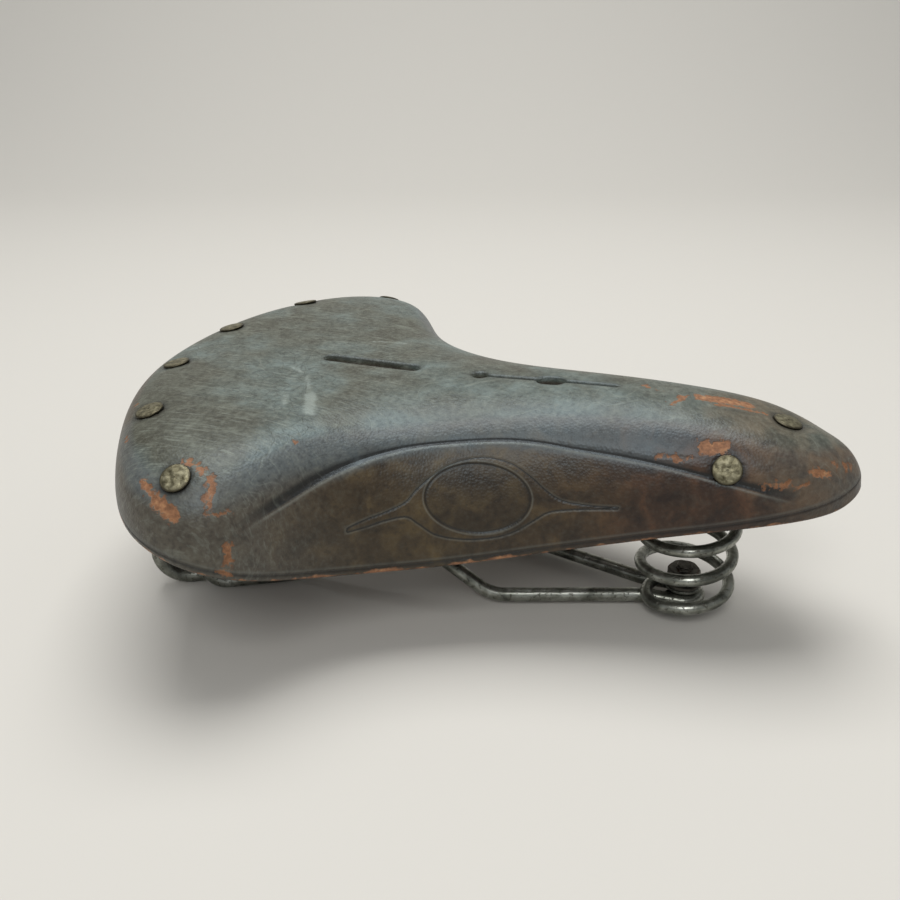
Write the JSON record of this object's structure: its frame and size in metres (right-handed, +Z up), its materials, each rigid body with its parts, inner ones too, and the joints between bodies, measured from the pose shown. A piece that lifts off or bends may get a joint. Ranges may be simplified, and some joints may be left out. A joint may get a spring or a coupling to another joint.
{
  "type": "bicycle saddle",
  "caption": "Sprung leather bicycle saddle: riveted leather top on a steel cantle plate, wire frame with rear spring loops, and one coil spring with a tension bolt at the nose.",
  "frame": {"origin": "on the floor under the middle of the saddle's length, on its plane of symmetry", "axes": "+X to the nose, +Y to the rider's left, +Z up"},
  "size_m": [0.2546, 0.2022, 0.0814],
  "materials": {
    "leather": "worn, waxed",
    "spring_wire": "worn bright plating over dark steel",
    "rivet": "aged, dull",
    "plate": "black, satin",
    "fastener": "dull, dark"
  },
  "bodies": {
    "frame": {"frame_wire": "spring_wire", "front_clamp_bolt": "fastener", "front_clamp_washer": "fastener", "front_clamp_nut": "fastener", "front_coil": "spring_wire", "rear_loop_left": "spring_wire", "rear_loop_right": "spring_wire"},
    "rear_ends": {"rear_wire_ends": "spring_wire"},
    "saddle_top": {"leather_top": "leather", "cantle_plate": "plate", "rear_rivets": "rivet", "rear_rivet_burrs": "rivet", "nose_plate": "plate", "nose_rivets": "rivet", "nose_rivet_burrs": "rivet", "nose_bracket": "plate", "tension_bolt": "fastener", "coil_top_bolt": "fastener", "coil_top_washer": "fastener", "coil_top_nut": "fastener", "wire_clamp_left": "fastener", "wire_clamp_right": "fastener", "wire_clamp_bolts": "fastener"},
    "tension": {"tension_nut": "fastener"}
  },
  "joints": [
    {"name": "rear_spring", "type": "slide", "parent": "frame", "child": "rear_ends", "axis": [0, 0, 1], "range_m": [-0.005, 0], "stiffness_N_per_m": 20000, "springref_m": 0.0004, "deforming": ["rear_loop_left", "rear_loop_right", "front_coil"]},
    {"name": "nose_spring", "type": "hinge", "parent": "rear_ends", "child": "saddle_top", "pos_m": [-0.1045, 0, 0.066], "axis": [0, 1, 0], "range_deg": [-1, 1.6], "stiffness_Nm_per_rad": 600, "deforming": ["front_coil"]},
    {"name": "tension_nut_turn", "type": "hinge", "parent": "saddle_top", "child": "tension", "pos_m": [0.092, 0, 0.06], "axis": [1, 0, 0], "range_deg": [-360, 360]}
  ]
}
